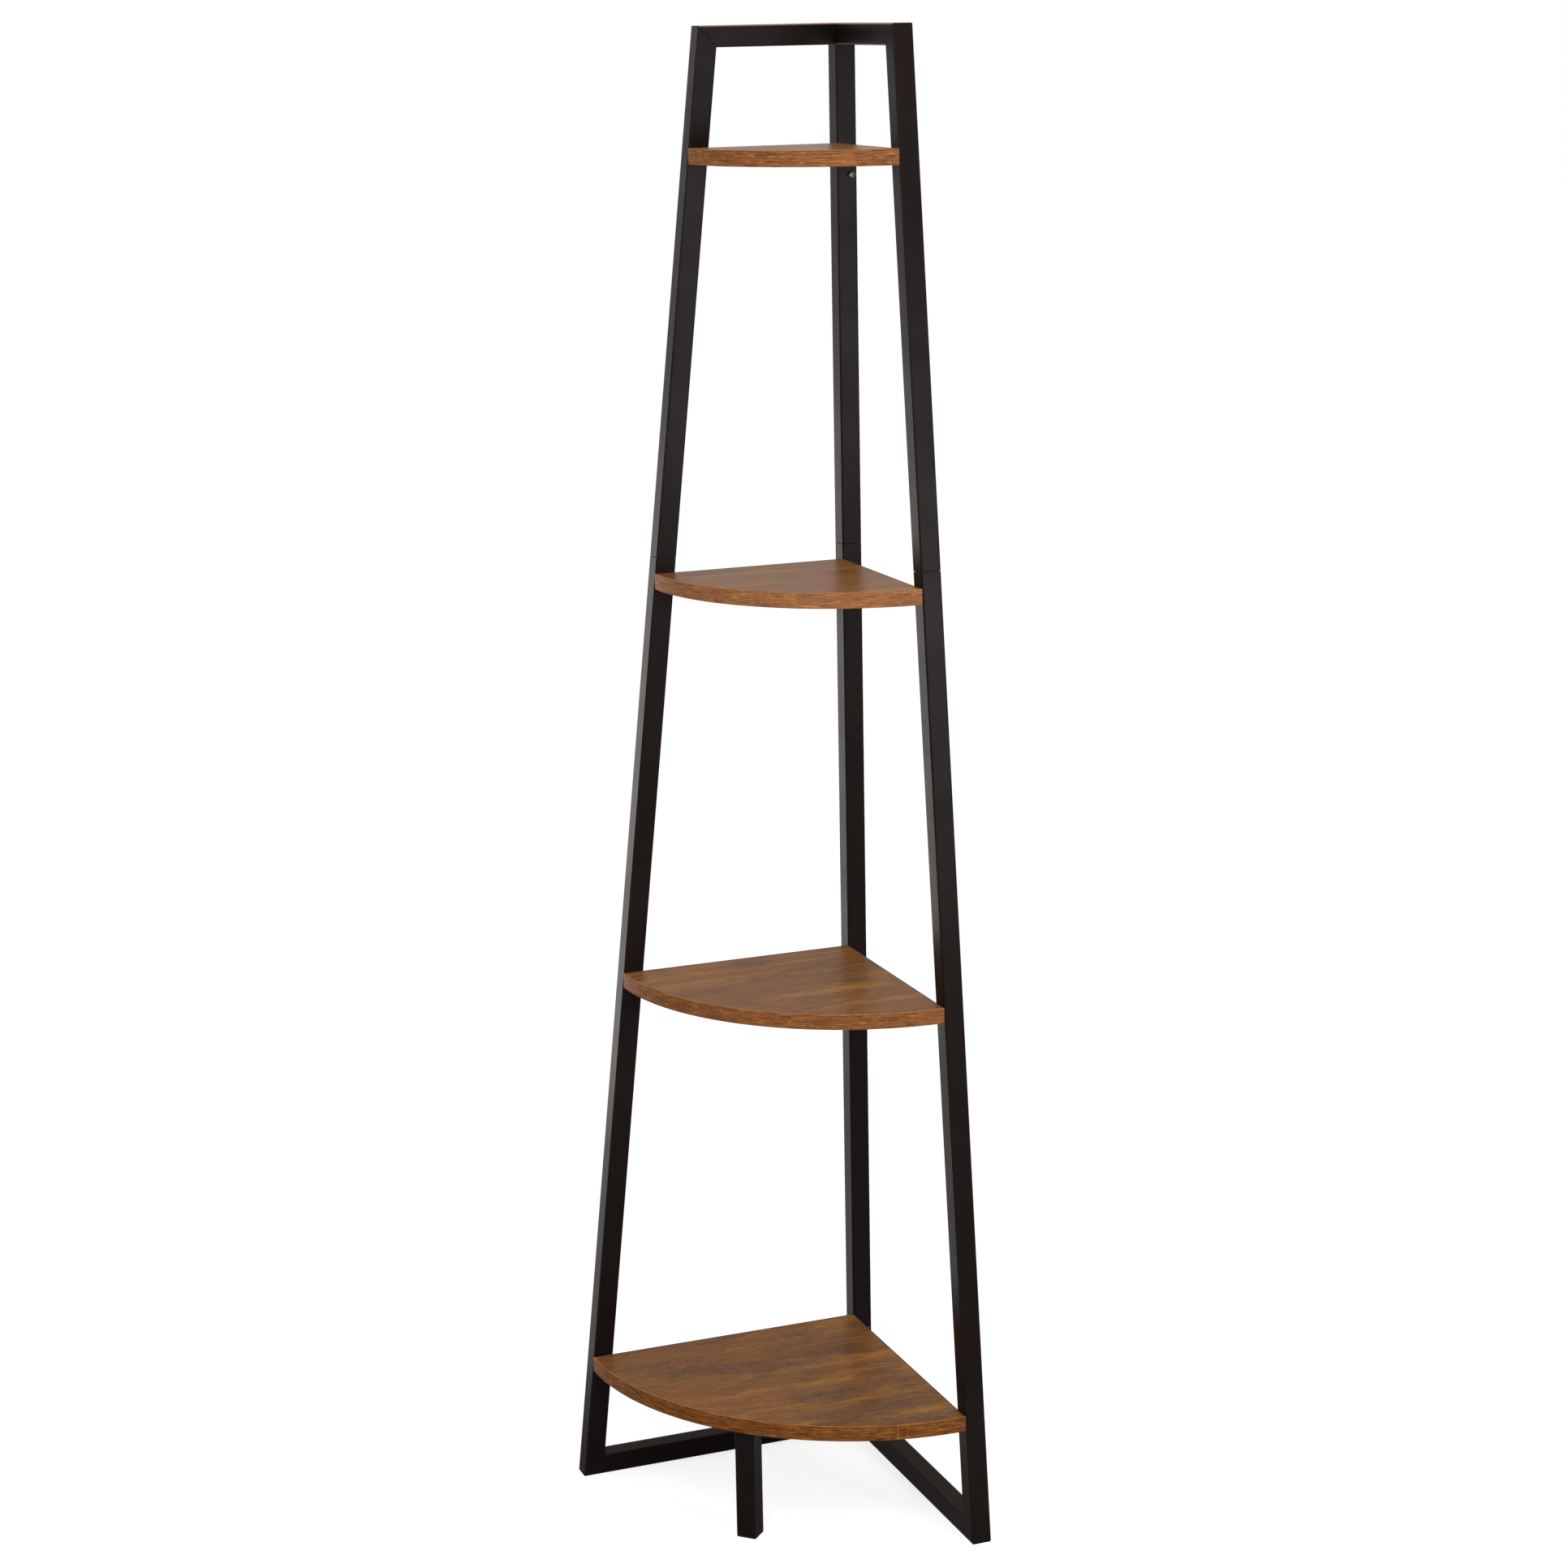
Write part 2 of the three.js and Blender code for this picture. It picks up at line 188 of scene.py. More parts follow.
class ShelfUnitColours(PropertyGroup):
    """Colours of the finishes, as linear light."""

    paint: FloatVectorProperty(
        name="Paint",
        description="Dark powder coat on the tubes",
        subtype="COLOR",
        default=(0.0066, 0.0037, 0.0030),
    )
    paint_pale: FloatVectorProperty(
        name="Paint Pale",
        description="Dust and specks on the powder coat",
        subtype="COLOR",
        default=(0.0130, 0.0084, 0.0070),
    )
    # Worn paint and painted highlight: this paler colour stands for paint rubbed thin and for
    # light caught by the rounded corners.
    paint_worn_and_highlight: FloatVectorProperty(
        name="Paint Worn",
        description="Powder coat rubbed thin along the tubes' corners",
        subtype="COLOR",
        default=(0.060, 0.045, 0.038),
    )
    # Dust and painted sheen: this paler colour stands for dust and for the sheen that
    # up-facing faces show.
    paint_dust_and_sheen: FloatVectorProperty(
        name="Paint Dust",
        description="Fine dust on faces that look up",
        subtype="COLOR",
        default=(0.026, 0.020, 0.017),
    )
    # Painted highlight: this warm colour stands for light caught along the very top of the top
    # bars.
    paint_top_highlight: FloatVectorProperty(
        name="Paint Top",
        description="Warm bloom along the very top of the top bars",
        subtype="COLOR",
        default=(0.230, 0.120, 0.085),
    )
    board_brown: FloatVectorProperty(
        name="Board Brown",
        description="Ground colour of the boards",
        subtype="COLOR",
        default=(0.182, 0.075, 0.022),
    )
    board_red: FloatVectorProperty(
        name="Board Red",
        description="Reddish streaks in the boards",
        subtype="COLOR",
        default=(0.188, 0.070, 0.023),
    )
    board_gold: FloatVectorProperty(
        name="Board Gold",
        description="Lighter streaks in the boards",
        subtype="COLOR",
        default=(0.285, 0.126, 0.026),
    )
    board_grey: FloatVectorProperty(
        name="Board Grey",
        description="Smoky patches in the boards",
        subtype="COLOR",
        default=(0.110, 0.053, 0.026),
    )
    band_brown: FloatVectorProperty(
        name="Band Brown",
        description="Ground colour of the strips",
        subtype="COLOR",
        default=(0.197, 0.064, 0.014),
    )
    band_dark: FloatVectorProperty(
        name="Band Dark",
        description="Dark pores in the strips",
        subtype="COLOR",
        default=(0.074, 0.019, 0.003),
    )
    band_tan: FloatVectorProperty(
        name="Band Tan",
        description="Light grain lines in the strips",
        subtype="COLOR",
        default=(0.370, 0.152, 0.045),
    )
    band_fleck: FloatVectorProperty(
        name="Band Fleck",
        description="Pale flecks and saw marks in the strips",
        subtype="COLOR",
        default=(0.550, 0.272, 0.098),
    )
    # Painted light: this paleness stands for stronger light and a highlight on the upper front
    # strips.
    band_painted_light: FloatVectorProperty(
        name="Band Faded",
        description="Paleness added to the upper front strips",
        subtype="COLOR",
        default=(0.315, 0.184, 0.122),
    )
    # Painted shade: this dark colour darkens the straight strips to draw a dark line along the
    # boards' back edges.
    edge_painted_shade: FloatVectorProperty(
        name="Edge Dark",
        description="Strips on the boards' straight edges",
        subtype="COLOR",
        default=(0.060, 0.024, 0.010),
    )
    zinc: FloatVectorProperty(
        name="Zinc",
        description="Plating on the wood screws",
        subtype="COLOR",
        default=(0.42, 0.43, 0.44),
    )
    black_steel: FloatVectorProperty(
        name="Black Steel",
        description="Blackened screws",
        subtype="COLOR",
        default=(0.06, 0.058, 0.056),
    )
    foot: FloatVectorProperty(
        name="Foot",
        description="Plastic plug in the front leg",
        subtype="COLOR",
        default=(0.012, 0.012, 0.012),
    )


class ShelfUnitStudio(PropertyGroup):
    """Camera, floor and light of the stage."""

    camera_place: FloatVectorProperty(
        name="Camera Place",
        description="Where the camera stands",
        subtype="TRANSLATION",
        default=(-1.0842, -2.8669, 1.4439),
    )
    camera_turn: FloatProperty(
        name="Camera Turn",
        description="How far the camera looks from +Y towards +X",
        subtype="ANGLE",
        default=0.3672,
    )
    camera_dip: FloatProperty(
        name="Camera Dip",
        description="How far the camera looks down",
        subtype="ANGLE",
        default=0.2295,
    )
    camera_roll: FloatProperty(
        name="Camera Roll",
        description="Turn of the camera about its line of sight",
        subtype="ANGLE",
        default=-0.0183,
    )
    lens: FloatProperty(
        name="Lens",
        description="Focal length on a 36 mm sensor",
        default=77.27,
        unit="CAMERA",
    )
    floor_size: FloatProperty(
        name="Floor Size",
        description="Half the width of the floor",
        default=14.0,
        unit="LENGTH",
    )
    floor_paper: FloatProperty(
        name="Floor Paper",
        description="Grey of the floor's paper, which takes the lamps' light and shadow",
        default=0.36,
    )
    floor_near: FloatProperty(
        name="Floor Near",
        description="White added to the floor by the unit, for camera and gloss only",
        default=0.80,
    )
    floor_far: FloatProperty(
        name="Floor Far",
        description="The same far from the unit, where the floor meets the background",
        default=0.84,
    )
    room_light: FloatProperty(
        name="Room Light",
        description="Strength of the even light from all round",
        default=0.6,
    )
    lamp_level: FloatProperty(
        name="Lamp Level",
        description="Share of full strength at which the soft lamps shine",
        default=1.0,
    )


# Mesh helpers
def verts_of(geometry):
    return [item for item in geometry if isinstance(item, bmesh.types.BMVert)]


def moved(bm, matrix):
    """Moves the mesh, and turns its faces back out where the matrix mirrors them."""
    bmesh.ops.transform(bm, matrix=matrix, verts=bm.verts[:])
    if matrix.determinant() < 0:
        bmesh.ops.reverse_faces(bm, faces=bm.faces[:])


def bevelled(bm, parts, offset, segments, affect="EDGES"):
    bmesh.ops.bevel(
        bm,
        geom=parts,
        offset=offset,
        offset_type="OFFSET",
        segments=segments,
        profile=0.5,
        affect=affect,
        clamp_overlap=True,
        material=-1,
    )


def sharp_edges(bm):
    return [e for e in bm.edges if e.is_manifold and e.calc_face_angle() > SHARP_ANGLE]


def turned_to(direction):
    """The turn from +Z to a direction."""
    return Vector((0, 0, 1)).rotation_difference(direction).to_matrix().to_4x4()


def mesh_of(bm, name):
    mesh = bpy.data.meshes.new(name)
    bm.to_mesh(mesh)
    bm.free()
    return mesh


def linked(mesh, name):
    piece = bpy.data.objects.new(name, mesh)
    bpy.context.scene.collection.objects.link(piece)
    return piece


def placed(bm, matrix, name):
    moved(bm, matrix)
    return linked(mesh_of(bm, name), name)


def cut(piece, cutter_bm):
    """Takes the cutter's shape out of the piece and keeps the result as its mesh."""
    cutter = linked(mesh_of(cutter_bm, "cutter"), "cutter")
    hole = piece.modifiers.new("Hole", "BOOLEAN")
    hole.operation = "DIFFERENCE"
    hole.solver = "EXACT"
    hole.object = cutter
    bpy.context.view_layer.update()
    evaluated = piece.evaluated_get(bpy.context.evaluated_depsgraph_get())
    mesh = bpy.data.meshes.new_from_object(evaluated)
    piece.modifiers.clear()
    old = piece.data
    piece.data = mesh
    bpy.data.meshes.remove(old)
    old = cutter.data
    bpy.data.objects.remove(cutter)
    bpy.data.meshes.remove(old)
    mesh.name = piece.name


def finished(piece, slot, node, look=None):
    """Shades a piece, gives it its finish and lets it stand for its CAD node."""
    mesh = piece.data
    mesh.materials.clear()
    mesh.materials.append(finish_for(look or slot))
    mesh.shade_smooth()
    mesh.set_sharp_from_angle(angle=SMOOTH_ANGLE)
    even = piece.modifiers.new("Even Shading", "WEIGHTED_NORMAL")
    even.keep_sharp = True
    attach(piece, "root")
    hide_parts(node)


def rod(bm, radius, start, end, segments=HOLE_STEPS):
    """Adds a closed round bar between two points."""
    axis = Vector(end) - Vector(start)
    made = bmesh.ops.create_cone(
        bm,
        cap_ends=True,
        segments=segments,
        radius1=radius,
        radius2=radius,
        depth=axis.length,
    )
    middle = Matrix.Translation((Vector(start) + Vector(end)) / 2)
    bmesh.ops.transform(bm, matrix=middle @ turned_to(axis), verts=made["verts"])


def softened(node, arris):
    """A copy of a CAD node's mesh with its sharp edges rounded."""
    bm = bmesh.new()
    bm.from_mesh(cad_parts[node].data)
    bmesh.ops.remove_doubles(bm, verts=bm.verts[:], dist=TINY)
    bmesh.ops.dissolve_limit(
        bm, angle_limit=FLAT_ANGLE, verts=bm.verts[:], edges=bm.edges[:]
    )
    bevelled(bm, sharp_edges(bm), arris, EDGE_STEPS)
    return bm


def finish_softened(name, slot, arris):
    """Finishes a CAD node as it is, with its sharp edges rounded."""
    piece = linked(mesh_of(softened(name, arris), name), f"{name}_finished")
    finished(piece, slot, name)


# Square tube
def square_tube(sizes, start, end, start_rise=(0, 0), end_rise=(0, 0), roundings=(0, 0)):
    """A tube along +Z. A slanted end climbs by its rise across X and Y."""
    bm = bmesh.new()
    half = sizes.tube_side / 2
    bmesh.ops.create_grid(bm, x_segments=1, y_segments=1, size=half)
    bevelled(bm, bm.verts[:], sizes.tube_corner, TUBE_CORNER_STEPS, "VERTICES")
    middle = bm.faces[:]
    bmesh.ops.inset_region(
        bm,
        faces=middle,
        thickness=sizes.tube_wall,
        use_boundary=True,
        use_even_offset=True,
    )
    bmesh.ops.delete(bm, geom=middle, context="FACES_ONLY")
    foot = bm.verts[:]
    made = bmesh.ops.extrude_face_region(bm, geom=bm.faces[:], use_keep_orig=True)
    head = verts_of(made["geom"])
    # Of the wall's two outlines, only the outer one lies beyond this, its corners too.
    outside = half - sizes.tube_wall * 0.75
    ends = []
    for verts in (foot, head):
        ring = {v for v in verts if max(abs(v.co.x), abs(v.co.y)) > outside}
        ends.append([e for e in bm.edges if e.verts[0] in ring and e.verts[1] in ring])
    for verts, level, rise in ((foot, start, start_rise), (head, end, end_rise)):
        place = Matrix.Translation((0, 0, level))
        place[2][0], place[2][1] = rise
        bmesh.ops.transform(bm, matrix=place, verts=verts)
    bmesh.ops.recalc_face_normals(bm, faces=bm.faces[:])
    for edges, rounding in zip(ends, roundings):
        if rounding > 0:
            bevelled(bm, [e for e in edges if e.is_valid], rounding, TUBE_END_STEPS)
    return bm


def leg_slope(sizes):
    return (sizes.base_reach - sizes.top_reach) / HEIGHT


def leg_centre(sizes, level):
    """How far the leg's centre line is from the shelves' corner, in plan."""
    slope = leg_slope(sizes)
    outer = sizes.top_reach + slope * (HEIGHT - level)
    return outer - sizes.tube_side / 2 * math.hypot(1, slope)


def side_matrix(side):
    """From the left frame, drawn round the shelves' corner, to its place on either side."""
    place = Matrix.Translation(CORNER)
    if side == "right":
        swap = Matrix(((0, 1, 0, 0), (1, 0, 0, 0), (0, 0, 1, 0), (0, 0, 0, 1)))
        place = place @ swap
    return place


def leg_matrix(sizes):
    half = sizes.tube_side / 2
    lean = Matrix.Rotation(math.atan(leg_slope(sizes)), 4, "Y")
    return Matrix.Translation((-leg_centre(sizes, half), half, half)) @ lean


def bar_matrix(sizes, level):
    half = sizes.tube_side / 2
    return Matrix.Translation((0, half, level)) @ Matrix.Rotation(SQUARE, 4, "Y")


def along_leg(sizes, level):
    """A height above the floor, as a distance along the leaning leg."""
    return (level - sizes.tube_side / 2) * math.hypot(1, leg_slope(sizes))


def hole_reach(sizes):
    """Where a hole's cutter ends, from a tube's middle: inside it and outside it."""
    half = sizes.tube_side / 2
    return half - 2 * sizes.tube_wall, 1.5 * half


def leg_cutters(sizes, low, high):
    """Screw holes through a leg between two levels: narrow inside, wide on the wall's side."""
    bm = bmesh.new()
    inner, outer = hole_reach(sizes)
    for shelf in SHELVES:
        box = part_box(f"{shelf}_board")
        level = (box[0].z + box[1].z) / 2
        if low < level < high:
            z = along_leg(sizes, level)
            rod(bm, sizes.access_hole, (0, inner, z), (0, outer, z), WIDE_HOLE_STEPS)
            rod(bm, sizes.screw_hole, (0, -outer, z), (0, -inner, z))
    return bm


def seam_screw_hole(bm, sizes, seam):
    """Adds the set screw's hole, on the wall's side above the seam."""
    low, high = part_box("rear_seam_set_screw")
    radius = (high.x - low.x) / 2 + SET_SCREW_PLAY
    above = (low.z + high.z) / 2 - SEAM_HEIGHT
    inner, outer = hole_reach(sizes)
    z = seam + above
    rod(bm, radius, (0, inner, z), (0, outer, z), WIDE_HOLE_STEPS)


def cut_in_place(piece, bm, matrix):
    moved(bm, matrix)
    cut(piece, bm)


def side_frame(sizes, side):
    place = side_matrix(side)
    half = sizes.tube_side / 2
    lean = math.atan(leg_slope(sizes))
    top_mitre = math.tan(DIAGONAL - lean / 2)
    foot_mitre = math.tan(DIAGONAL + lean / 2)
    top_back = WELD_GAP / 2 / math.cos(DIAGONAL - lean / 2)
    foot_back = WELD_GAP / 2 / math.cos(DIAGONAL + lean / 2)
    corner_back = WELD_GAP / 2 * math.sqrt(2)
    seam = along_leg(sizes, SEAM_HEIGHT)
    weld, plug = sizes.mitre_rounding, sizes.seam_rounding
    leg = place @ leg_matrix(sizes)

    lower = square_tube(
        sizes,
        foot_back,
        seam - SEAM_GAP / 2,
        start_rise=(foot_mitre, 0),
        roundings=(weld, plug),
    )
    piece = placed(lower, leg, f"{side}_lower_leg_finished")
    cut_in_place(piece, leg_cutters(sizes, 0, SEAM_HEIGHT), leg)
    finished(piece, "frame_paint", f"{side}_lower_leg")

    upper = square_tube(
        sizes,
        seam + SEAM_GAP / 2,
        along_leg(sizes, HEIGHT - half) - top_back,
        end_rise=(-top_mitre, 0),
        roundings=(plug, weld),
    )
    piece = placed(upper, leg, f"{side}_upper_leg_finished")
    cutters = leg_cutters(sizes, SEAM_HEIGHT, HEIGHT)
    seam_screw_hole(cutters, sizes, seam)
    cut_in_place(piece, cutters, leg)
    finished(piece, "frame_paint", f"{side}_upper_leg")

    for bar, level, back, mitre in (
        ("top_bar", HEIGHT - half, top_back, top_mitre),
        ("base_bar", half, foot_back, -foot_mitre),
    ):
        tube = square_tube(
            sizes,
            back - leg_centre(sizes, level),
            half - corner_back,
            start_rise=(mitre, 0),
            end_rise=(0, 1),
            roundings=(weld, weld),
        )
        piece = placed(tube, place @ bar_matrix(sizes, level), f"{side}_{bar}_finished")
        finished(piece, "frame_paint", f"{side}_{bar}")


class SHELF_UNIT_OT_side_frames(Operator):
    """Legs, top bars and base bars of both side frames"""

    bl_idname = "shelf_unit.side_frames"
    bl_label = "Side Frames"

    def execute(self, context):
        for side in SIDES:
            side_frame(context.scene.shelf_unit_sizes, side)
        return {"FINISHED"}


class SHELF_UNIT_OT_rear_post(Operator):
    """Lower and upper halves of the post in the corner"""

    bl_idname = "shelf_unit.rear_post"
    bl_label = "Rear Post"

    def execute(self, context):
        sizes = context.scene.shelf_unit_sizes
        half = sizes.tube_side / 2
        place = Matrix.Translation(CORNER + Vector((half, half, 0)))
        weld, plug = sizes.mitre_rounding, sizes.seam_rounding
        lower = square_tube(sizes, POST_LOW.z, POST_HIGH.z, roundings=(weld, plug))
        piece = placed(lower, place, "rear_lower_post_finished")
        finished(piece, "frame_paint", "rear_lower_post")

        low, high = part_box("rear_upper_post")
        upper = square_tube(sizes, low.z, high.z, roundings=(plug, weld))
        piece = placed(upper, place, "rear_upper_post_finished")
        bm = bmesh.new()
        seam_screw_hole(bm, sizes, SEAM_HEIGHT)
        low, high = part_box("wall_fixing_screw")
        across = (low.x + high.x) / 2 - CORNER.x - half
        level = (low.z + high.z) / 2
        outer = hole_reach(sizes)[1]
        rod(bm, sizes.screw_hole, (across, -outer, level), (across, outer, level))
        cut_in_place(piece, bm, place)
        finished(piece, "frame_paint", "rear_upper_post")
        return {"FINISHED"}


# Boards and their edge bands
# Metres from one strip's place in the grain to the next one's, so that no two look alike.
GRAIN_STEP = 0.83
STRAIGHT_STRIP_SHIFT = 0.41


def quarter_disc(radius, inset, low, high, steps):
    """A quarter-round slab in the shelves' corner, its straight sides set back by an inset."""
    bm = bmesh.new()
    bmesh.ops.create_circle(bm, cap_ends=True, segments=4 * steps, radius=radius)
    for normal in ((1, 0, 0), (0, 1, 0)):
        bmesh.ops.bisect_plane(
            bm,
            geom=bm.verts[:] + bm.edges[:] + bm.faces[:],
            dist=TINY,
            plane_co=[-inset * n for n in normal],
            plane_no=normal,
            clear_outer=True,
        )
    made = bmesh.ops.extrude_face_region(bm, geom=bm.faces[:], use_keep_orig=True)
    bmesh.ops.translate(bm, vec=(0, 0, high - low), verts=verts_of(made["geom"]))
    bmesh.ops.recalc_face_normals(bm, faces=bm.faces[:])
    bmesh.ops.translate(bm, vec=(0, 0, low), verts=bm.verts[:])
    return bm


class SHELF_UNIT_OT_boards(Operator):
    """The four quarter-round boards"""

    bl_idname = "shelf_unit.boards"
    bl_label = "Boards"

    def execute(self, context):
        sizes = context.scene.shelf_unit_sizes
        for shelf in SHELVES:
            low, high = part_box(f"{shelf}_board")
            radius = CORNER.x - low.x
            inset = CORNER.x - high.x
            bm = quarter_disc(radius, inset, low.z, high.z, sizes.arc_steps)
            bevelled(bm, sharp_edges(bm), sizes.band_arris / 4, EDGE_STEPS)
            piece = placed(bm, Matrix.Translation(CORNER), f"{shelf}_board_finished")
            finished(piece, "shelf_laminate", f"{shelf}_board")
        return {"FINISHED"}


def front_band(sizes, radius, low, high):
    """A strip bent round the board's front, its long outer edges rounded by the cutter."""
    bm = bmesh.new()
    thick = sizes.band_thickness
    middle = -radius + thick / 2
    made = bmesh.ops.create_grid(bm, x_segments=1, y_segments=1, size=0.5)
    stand = Matrix.Rotation(SQUARE, 4, "X")
    scale = Matrix.Diagonal((thick, 1, high - low, 1))
    place = Matrix.Translation((middle, 0, (high + low) / 2))
    bmesh.ops.transform(bm, matrix=place @ scale @ stand, verts=made["verts"])
    outer = [v for v in bm.verts if v.co.x < middle]
    bevelled(bm, outer, sizes.band_arris, BAND_STEPS, "VERTICES")
    gap = CORNER.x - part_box("top_shelf_left_edge_band")[1].y
    turn = math.asin(abs(gap) / radius)
    moved(bm, Matrix.Rotation(turn, 4, "Z"))
    bmesh.ops.spin(
        bm,
        geom=bm.verts[:] + bm.edges[:] + bm.faces[:],
        cent=(0, 0, 0),
        axis=(0, 0, 1),
        angle=SQUARE - 2 * turn,
        steps=sizes.arc_steps,
        use_merge=False,
        use_duplicate=False,
    )
    bmesh.ops.recalc_face_normals(bm, faces=bm.faces[:])
    return bm


def grain_map(bm, name, along):
    """A map in metres: u runs along the strip and v up its face."""
    layer = bm.loops.layers.uv.new(name)
    for face in bm.faces:
        for loop in face.loops:
            loop[layer].uv = along(loop.vert.co)


def round_front(start, radius, base):
    """From a point of a curved strip to its place on the map."""
    return lambda co: (start + math.atan2(-co.y, -co.x) * radius, co.z - base)


def along_edge(start, axis, base):
    """From a point of a straight strip to its place on the map."""
    return lambda co: (start + co[axis], co.z - base)


class SHELF_UNIT_OT_edge_bands(Operator):
    """The wood-grain strips on the boards' curved and straight edges"""

    bl_idname = "shelf_unit.edge_bands"
    bl_label = "Edge Bands"

    def execute(self, context):
        sizes = context.scene.shelf_unit_sizes
        for index, shelf in enumerate(SHELVES):
            start = GRAIN_STEP * index
            name = f"{shelf}_front_edge_band"
            low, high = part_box(name)
            radius = CORNER.x - low.x
            bm = front_band(sizes, radius, low.z, high.z)
            grain_map(bm, "Grain", round_front(start, radius, low.z))
            grain_map(bm, "Marks", round_front(-sizes.saw_marks[index], radius, low.z))
            piece = placed(bm, Matrix.Translation(CORNER), f"{name}_finished")
            finished(piece, "edge_band", name)
            for axis, side in enumerate(SIDES):
                name = f"{shelf}_{side}_edge_band"
                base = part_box(name)[0].z
                bm = softened(name, sizes.band_arris / 2)
                along = along_edge(start + STRAIGHT_STRIP_SHIFT, axis, base)
                grain_map(bm, "Grain", along)
                piece = linked(mesh_of(bm, name), f"{name}_finished")
                finished(piece, "edge_band", name, look="straight_band")
        return {"FINISHED"}


class SHELF_UNIT_OT_lugs(Operator):
    """The lugs welded to the rear post under the boards"""

    bl_idname = "shelf_unit.lugs"
    bl_label = "Rear Lugs"

    def execute(self, context):
        arris = context.scene.shelf_unit_sizes.part_arris
        for shelf in SHELVES:
            finish_softened(f"{shelf}_rear_lug", "frame_paint", arris)
        return {"FINISHED"}


class SHELF_UNIT_OT_front_leg(Operator):
    """The short leg under the bottom board, with its plate and foot"""

    bl_idname = "shelf_unit.front_leg"
    bl_label = "Front Leg"

    def execute(self, context):
        sizes = context.scene.shelf_unit_sizes
        low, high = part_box("front_leg_tube")
        middle = (low + high) / 2
        tube = square_tube(sizes, low.z, high.z, roundings=(sizes.seam_rounding / 2, 0))
        turn = Matrix.Rotation(DIAGONAL, 4, "Z")
        place = Matrix.Translation((middle.x, middle.y, 0)) @ turn
        piece = placed(tube, place, "front_leg_tube_finished")
        finished(piece, "frame_paint", "front_leg_tube")
        finish_softened("front_leg_plate", "frame_paint", sizes.part_arris)
        finish_softened("front_leg_foot", "foot_plastic", sizes.part_arris)
        return {"FINISHED"}


# Screws
# Name, the axis it lies along, the way its head looks, and its slot.
SCREWS = [
    (f"{shelf}_{place}", axis, sign, "zinc_steel")
    for shelf in SHELVES
    for place, axis, sign in (
        ("left_screw", 1, 1),
        ("right_screw", 0, 1),
        ("rear_screw", 2, -1),
    )
]
SCREWS += [(f"front_leg_{side}_screw", 2, -1, "zinc_steel") for side in SIDES]
SCREWS.append(("wall_fixing_screw", 1, -1, "black_screw"))

# The head, in shares: its height of the shank's radius, its upright side and its
# rounding of its height, and its flat crown of its radius.
HEAD_HEIGHT = 1.1
HEAD_SIDE = 0.45
HEAD_ROUNDING = 0.3
HEAD_CROWN = 0.6
# The cross recess, in shares: its span of the head's radius, its depth of the head's
# height, and its bottom of its opening.
CROSS_SPAN = 1.1
CROSS_DEPTH = 0.55
CROSS_TAPER = 0.55
# Each screw stops at a turn of its own: radians for each letter of its name and each
# millimetre of its length.
STOP_TURN = 0.7


def pan_head_mesh(shank, length, head, height):
    """A pan-head screw. Its head seats at the origin and points up."""
    bm = bmesh.new()
    outline = [
        (0, -length),
        (shank, 2 * shank - length),
        (shank, 0),
        (head, 0),
        (head, height * HEAD_SIDE),
        (head * HEAD_CROWN, height),
        (0, height),
    ]
    verts = [bm.verts.new((x, 0, z)) for x, z in outline]
    edges = [bm.edges.new(pair) for pair in zip(verts, verts[1:])]
    bmesh.ops.spin(
        bm,
        geom=verts + edges,
        cent=(0, 0, 0),
        axis=(0, 0, 1),
        angle=2 * math.pi,
        steps=SCREW_STEPS,
        use_merge=True,
        use_duplicate=False,
    )
    bmesh.ops.remove_doubles(bm, verts=bm.verts[:], dist=TINY)
    bmesh.ops.recalc_face_normals(bm, faces=bm.faces[:])
    rims = [
        e
        for e in bm.edges
        if abs(e.verts[0].co.z - e.verts[1].co.z) < TINY
        and e.verts[0].co.z > height * HEAD_SIDE / 2
        and min(v.co.xy.length for v in e.verts) > head / 2
    ]
    bevelled(bm, rims, height * HEAD_ROUNDING, CROWN_STEPS)
    return mesh_of(bm, "screw")


def cross_recess(span, depth, top):
    """A cutter in the shape of a cross, narrower at its bottom."""
    bm = bmesh.new()
    bmesh.ops.create_grid(bm, x_segments=3, y_segments=3, size=span / 2)
    # Without its four corner squares the grid is a cross.
    arm = span / 6
    corners = [f for f in bm.faces if min(map(abs, f.calc_center_median().xy)) > arm]
    bmesh.ops.delete(bm, geom=corners, context="FACES")
    bmesh.ops.translate(bm, vec=(0, 0, top + depth), verts=bm.verts[:])
    made = bmesh.ops.extrude_face_region(bm, geom=bm.faces[:], use_keep_orig=True)
    bottom = verts_of(made["geom"])
    bmesh.ops.translate(bm, vec=(0, 0, -2 * depth), verts=bottom)
    bmesh.ops.scale(bm, vec=(CROSS_TAPER, CROSS_TAPER, 1), verts=bottom)
    bmesh.ops.recalc_face_normals(bm, faces=bm.faces[:])
    return bm


class SHELF_UNIT_OT_screws(Operator):
    """Pan-head screws through the legs, the lugs, the plate and the rear post"""

    bl_idname = "shelf_unit.screws"
    bl_label = "Screws"

    def execute(self, context):
        # A shank clears its hole by as much as the tubes clear each other at a weld.
        shank = context.scene.shelf_unit_sizes.screw_hole - WELD_GAP
        height = shank * HEAD_HEIGHT
        for name, axis, sign, slot in SCREWS:
            low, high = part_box(name)
            across = (axis + 1) % 3
            head = (high[across] - low[across]) / 2
            length = high[axis] - low[axis]
            seat = (low + high) / 2
            seat[axis] = (high if sign > 0 else low)[axis] - sign * height
            direction = Vector((0, 0, 0))
            direction[axis] = sign
            mesh = pan_head_mesh(shank, length - height, head, height)
            piece = linked(mesh, f"{name}_finished")
            cut(piece, cross_recess(head * CROSS_SPAN, height * CROSS_DEPTH, height))
            spin = Matrix.Rotation(STOP_TURN * (len(name) + length * 1000), 4, "Z")
            place = Matrix.Translation(seat) @ turned_to(direction) @ spin
            piece.data.transform(place)
            finished(piece, slot, name)
        return {"FINISHED"}


